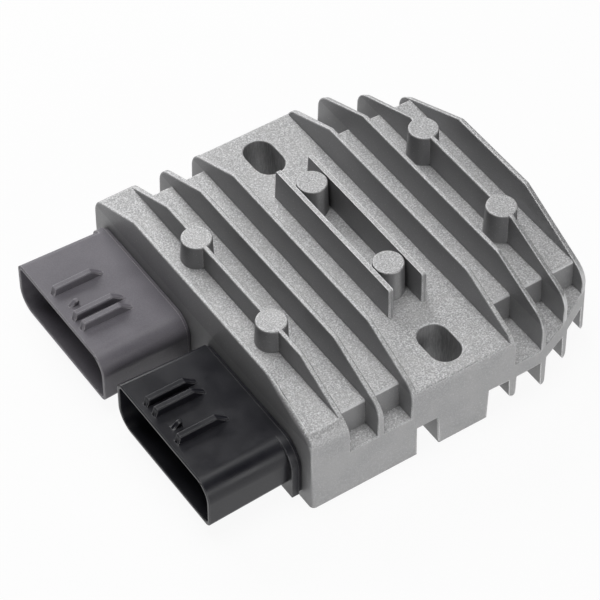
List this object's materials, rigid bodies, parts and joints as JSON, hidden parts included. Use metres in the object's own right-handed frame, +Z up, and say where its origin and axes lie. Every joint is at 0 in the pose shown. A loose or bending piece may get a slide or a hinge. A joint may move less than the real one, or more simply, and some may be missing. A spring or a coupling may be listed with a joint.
{
  "type": "voltage regulator rectifier",
  "caption": "Cast finned housing with slotted mounting ears and keyed plug sockets that rectifies and regulates an engine alternator's output.",
  "frame": {"origin": "midway between the two mounting slots, on the mounting plane", "axes": "+X along the length, away from the plug sockets; +Y along the fins, from slot to slot; +Z up, away from the mounting plane"},
  "size_m": [0.1, 0.0858, 0.027],
  "materials": {
    "cast_aluminium": "as cast, fine shot-blasted grain",
    "grey_plastic": "moulded, fine satin",
    "black_plastic": "moulded, satin",
    "tinned_brass": "bright tin plate",
    "potting_resin": "cured level, slight sheen",
    "board_laminate": "solder mask over laminate",
    "silicone_sheet": "soft grey sheet",
    "transistor_resin": "moulded",
    "capacitor_can": "bright can",
    "ceramic": "fired body with tinned ends"
  },
  "bodies": {
    "root": {"heat_sink_housing": "cast_aluminium", "stator_socket": "grey_plastic", "output_socket": "black_plastic", "potting_compound": "potting_resin", "power_board": "board_laminate", "thermal_sheet": "silicone_sheet", "control_chip": "transistor_resin", "filter_capacitor": "capacitor_can", "stator_blade_1": "tinned_brass", "stator_blade_2": "tinned_brass", "stator_blade_3": "tinned_brass", "output_blade_1": "tinned_brass", "output_blade_2": "tinned_brass", "output_blade_3": "tinned_brass", "power_transistor_1": "transistor_resin", "gate_resistor_1": "ceramic", "power_transistor_2": "transistor_resin", "gate_resistor_2": "ceramic", "power_transistor_3": "transistor_resin", "gate_resistor_3": "ceramic", "power_transistor_4": "transistor_resin", "gate_resistor_4": "ceramic", "power_transistor_5": "transistor_resin", "gate_resistor_5": "ceramic", "power_transistor_6": "transistor_resin", "gate_resistor_6": "ceramic", "ceramic_capacitor_1": "ceramic", "ceramic_capacitor_2": "ceramic"}
  },
  "joints": []
}
